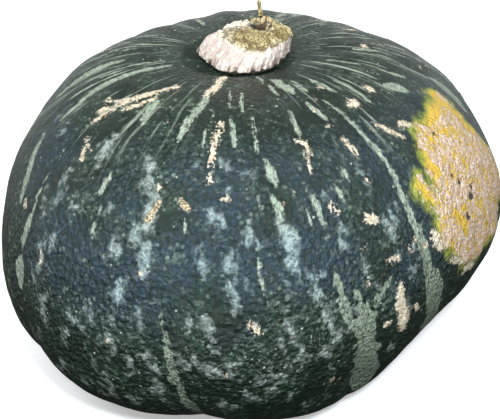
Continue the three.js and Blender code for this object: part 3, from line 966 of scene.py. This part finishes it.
def stem_stains(tree, patchy, speck, colour):
    """Straw and olive areas of the top, with brown crumbs that the straw and the top have fewer of."""
    uneven = tree.math("SUBTRACT", patchy, 0.5)
    straw = tree.step(tree.add(uneven, 1.2, tree.attribute("straw")), 0.25, 0.6)
    colour = tree.mix(straw, colour, tree.mix(tree.step(speck, 0.36, 0.54), STEM_OLIVE, STEM_STRAW))
    olive = tree.step(tree.add(uneven, 2.0, tree.attribute("olive")), 0.35, 0.7)
    colour = tree.mix(olive, colour, STEM_OLIVE)
    crumbs = tree.add(straw, 0.08, tree.add(tree.attribute("top"), 0.08, speck))
    return tree.mix(tree.step(crumbs, 0.65, 0.72), colour, STEM_BROWN)


def stem_cracks(tree, patchy, speck, colour):
    """Upright hairlines on the wall, the dark hollow and cracks, and a painted shadow along the foot."""
    hairlines = tree.step(tree.noise(tree.attribute("wall", vector=True), 1.3, 3.0, 0.6), 0.5, 0.38)
    hairlines = tree.times(hairlines, tree.step(tree.attribute("height"), 0.7, 0.15))
    colour = tree.mix(tree.times(hairlines, 0.8), colour, STEM_BROWN)
    hollow = tree.step(tree.add(patchy, 0.5, tree.attribute("hollow")), 0.5, 0.95)
    colour = tree.mix(hollow, colour, STEM_DARK)
    crack = tree.step(tree.add(speck, 0.4, tree.attribute("crack")), 0.5, 1.1)
    colour = tree.mix(tree.times(crack, 0.7), colour, STEM_BROWN)
    # Painted shadow where the stem meets the rind.
    foot = tree.step(tree.add(patchy, 0.8, tree.attribute("foot")), 0.6, 1.0)
    return tree.mix(foot, colour, STEM_DARK)


def stem_material(cork_grain):
    material, tree, shader = new_material("stem_cork")
    place = tree.place()
    grain = use(tree, cork_grain, {"Place": place, "Scale": 900.0})
    speck = tree.noise(place, 1300, 3.0, 0.7)
    patchy = tree.noise(place, 320, 4.0, 0.7)
    colour = stem_stains(tree, patchy, speck, stem_ground(tree, patchy))
    tree.put(shader["Base Color"], stem_cracks(tree, patchy, speck, colour))
    tree.put(shader["Roughness"], tree.add(speck, 0.1, 0.85))
    bump = {"Height": tree.math("ADD", grain, speck), "Distance": STEM_BUMP, "Strength": 1.0}
    tree.put(shader["Normal"], tree.node("Bump", bump))
    return material


# ---- The fibres' finish ----
FIBRE_STRAW = srgb(204, 188, 142)
FIBRE_BROWN = srgb(112, 92, 58)
STRANDS = (1700, 1700, 260)  # scale of the strands across a fibre and along it
FIBRE_BUMP = 0.2 * MM


def fibre_material():
    material, tree, shader = new_material("torn_fibre")
    place = tree.place()
    strands = tree.noise(tree.stretched(place, STRANDS), 1.0, 3.0, 0.6)
    tree.put(shader["Base Color"], tree.mix(tree.step(strands, 0.35, 0.68), FIBRE_BROWN, FIBRE_STRAW))
    tree.put(shader["Roughness"], tree.add(strands, 0.2, 0.7))
    bump = {"Height": strands, "Distance": FIBRE_BUMP, "Strength": 0.8}
    tree.put(shader["Normal"], tree.node("Bump", bump))
    return material


# ---- The stage, lights and camera ----
FLOOR_RADIUS = 6
FLOOR_GREY = (0.9, 0.9, 0.9, 1)
FLOOR_GLOW = 0.35


def make_floor():
    """A pale round floor that the fruit neither mirrors nor takes colour from."""
    bm = bmesh.new()
    bmesh.ops.create_circle(bm, cap_ends=True, segments=96, radius=FLOOR_RADIUS)
    mesh = bpy.data.meshes.new("floor")
    bm.to_mesh(mesh)
    bm.free()
    material, _, shader = new_material("pale_floor")
    shader["Base Color"].default_value = FLOOR_GREY
    shader["Roughness"].default_value = 0.9
    shader["Emission Color"].default_value = (1, 1, 1, 1)
    shader["Emission Strength"].default_value = FLOOR_GLOW
    mesh.materials.append(material)
    floor = bpy.data.objects.new("floor", mesh)
    floor.visible_diffuse = False
    floor.visible_glossy = False
    bpy.context.scene.collection.objects.link(floor)


# Name, azimuth (0 is the front, 90 the +X side), elevation, distance from the fruit's middle, size,
# power and colour.
LIGHTS = (
    ("camera_side_light", 6, 34, 0.62, 0.05, 4.0, (0.84, 0.92, 1.0)),
    ("left_soft_light", -32, 48, 0.9, 0.25, 3.2, (0.92, 0.96, 1.0)),
    ("overhead_light", 0, 80, 1.1, 0.9, 3.2, (1.0, 0.99, 0.96)),
    ("back_fill", 160, 50, 1.3, 0.9, 2.0, (1.0, 1.0, 1.0)),
)


def area_light(name, azimuth, elevation, distance, size, power, colour):
    """A square light that faces the fruit's middle."""
    data = bpy.data.lights.new(name, "AREA")
    data.size = size
    data.energy = power
    data.color = colour
    light = bpy.data.objects.new(name, data)
    away = Vector(direction(azimuth, elevation))
    turn = away.to_track_quat("Z", "Y").to_matrix().to_4x4()
    light.matrix_world = Matrix.Translation(Vector(EQUATOR) + away * distance) @ turn
    bpy.context.scene.collection.objects.link(light)


# The studio's glow: from the floor's side, from above, and in the two parts of what gloss mirrors.
GLOW_BELOW = (0.04, 0.045, 0.04, 1)
GLOW_ABOVE = (0.6, 0.62, 0.6, 1)
MIRRORED_DARK = (0.03, 0.035, 0.03, 1)
MIRRORED_BAND = (0.6, 0.64, 0.62, 1)
WHITE = (1, 1, 1, 1)


def make_world():
    """A white backdrop, a glow that grows with height, and a pale band at eye level for gloss to mirror."""
    world = bpy.data.worlds.new("studio")
    bpy.context.scene.world = world
    world.use_nodes = True
    tree = Tree(world.node_tree)
    up = tree.node("SeparateXYZ", {0: tree.node("TexCoord", out="Generated")}, out="Z")
    glow = tree.mix(tree.step(up, -0.2, 0.4), GLOW_BELOW, GLOW_ABOVE)
    band = tree.times(tree.step(up, -0.5, -0.15), tree.step(up, 0.5, 0.15))
    mirrored = tree.mix(band, MIRRORED_DARK, MIRRORED_BAND)
    glow = tree.mix(tree.node("LightPath", out="Is Glossy Ray"), glow, mirrored)
    shader = world.node_tree.nodes["Background"].inputs
    tree.put(shader["Color"], tree.mix(tree.node("LightPath", out="Is Camera Ray"), glow, WHITE))
    shader["Strength"].default_value = 1.0


CAMERA_DISTANCE = 6 * HALF_WIDTH
CAMERA_ELEVATION = 28.0
CAMERA_ROLL = -2.0
CAMERA_LENS = 110.8
CAMERA_AIM = (0.27, -0.06)  # degrees that the camera turns left and up from the fruit's middle


def make_camera():
    data = bpy.data.cameras.new("camera")
    data.lens = CAMERA_LENS
    data.clip_start = 0.01
    camera = bpy.data.objects.new("camera", data)
    elevation = math.radians(CAMERA_ELEVATION)
    away = Vector((0, -math.cos(elevation), math.sin(elevation)))
    left, up = (math.radians(angle) for angle in CAMERA_AIM)
    turn = Matrix.Rotation(math.pi / 2 - elevation, 4, "X")
    turn = turn @ Matrix.Rotation(math.radians(CAMERA_ROLL), 4, "Z")
    turn = turn @ Matrix.Rotation(left, 4, "Y") @ Matrix.Rotation(up, 4, "X")
    camera.matrix_world = Matrix.Translation(Vector(EQUATOR) + away * CAMERA_DISTANCE) @ turn
    bpy.context.scene.collection.objects.link(camera)
    bpy.context.scene.camera = camera


def build():
    ragged_edge, cork_grain = ragged_edge_group(), cork_grain_group()
    fibre = fibre_material()
    make_rind(rind_material(ragged_edge, cork_grain))
    make_stem(stem_material(cork_grain))
    make_fibres("stem_splinter_fibre", (SPLINTER,), fibre, "stem_splinter")
    make_fibres("torn_stem_fibres", TORN_FIBRES, fibre)
    make_floor()
    for light in LIGHTS:
        area_light(*light)
    make_world()
    make_camera()
    bpy.context.scene.view_settings.view_transform = "Standard"


build()
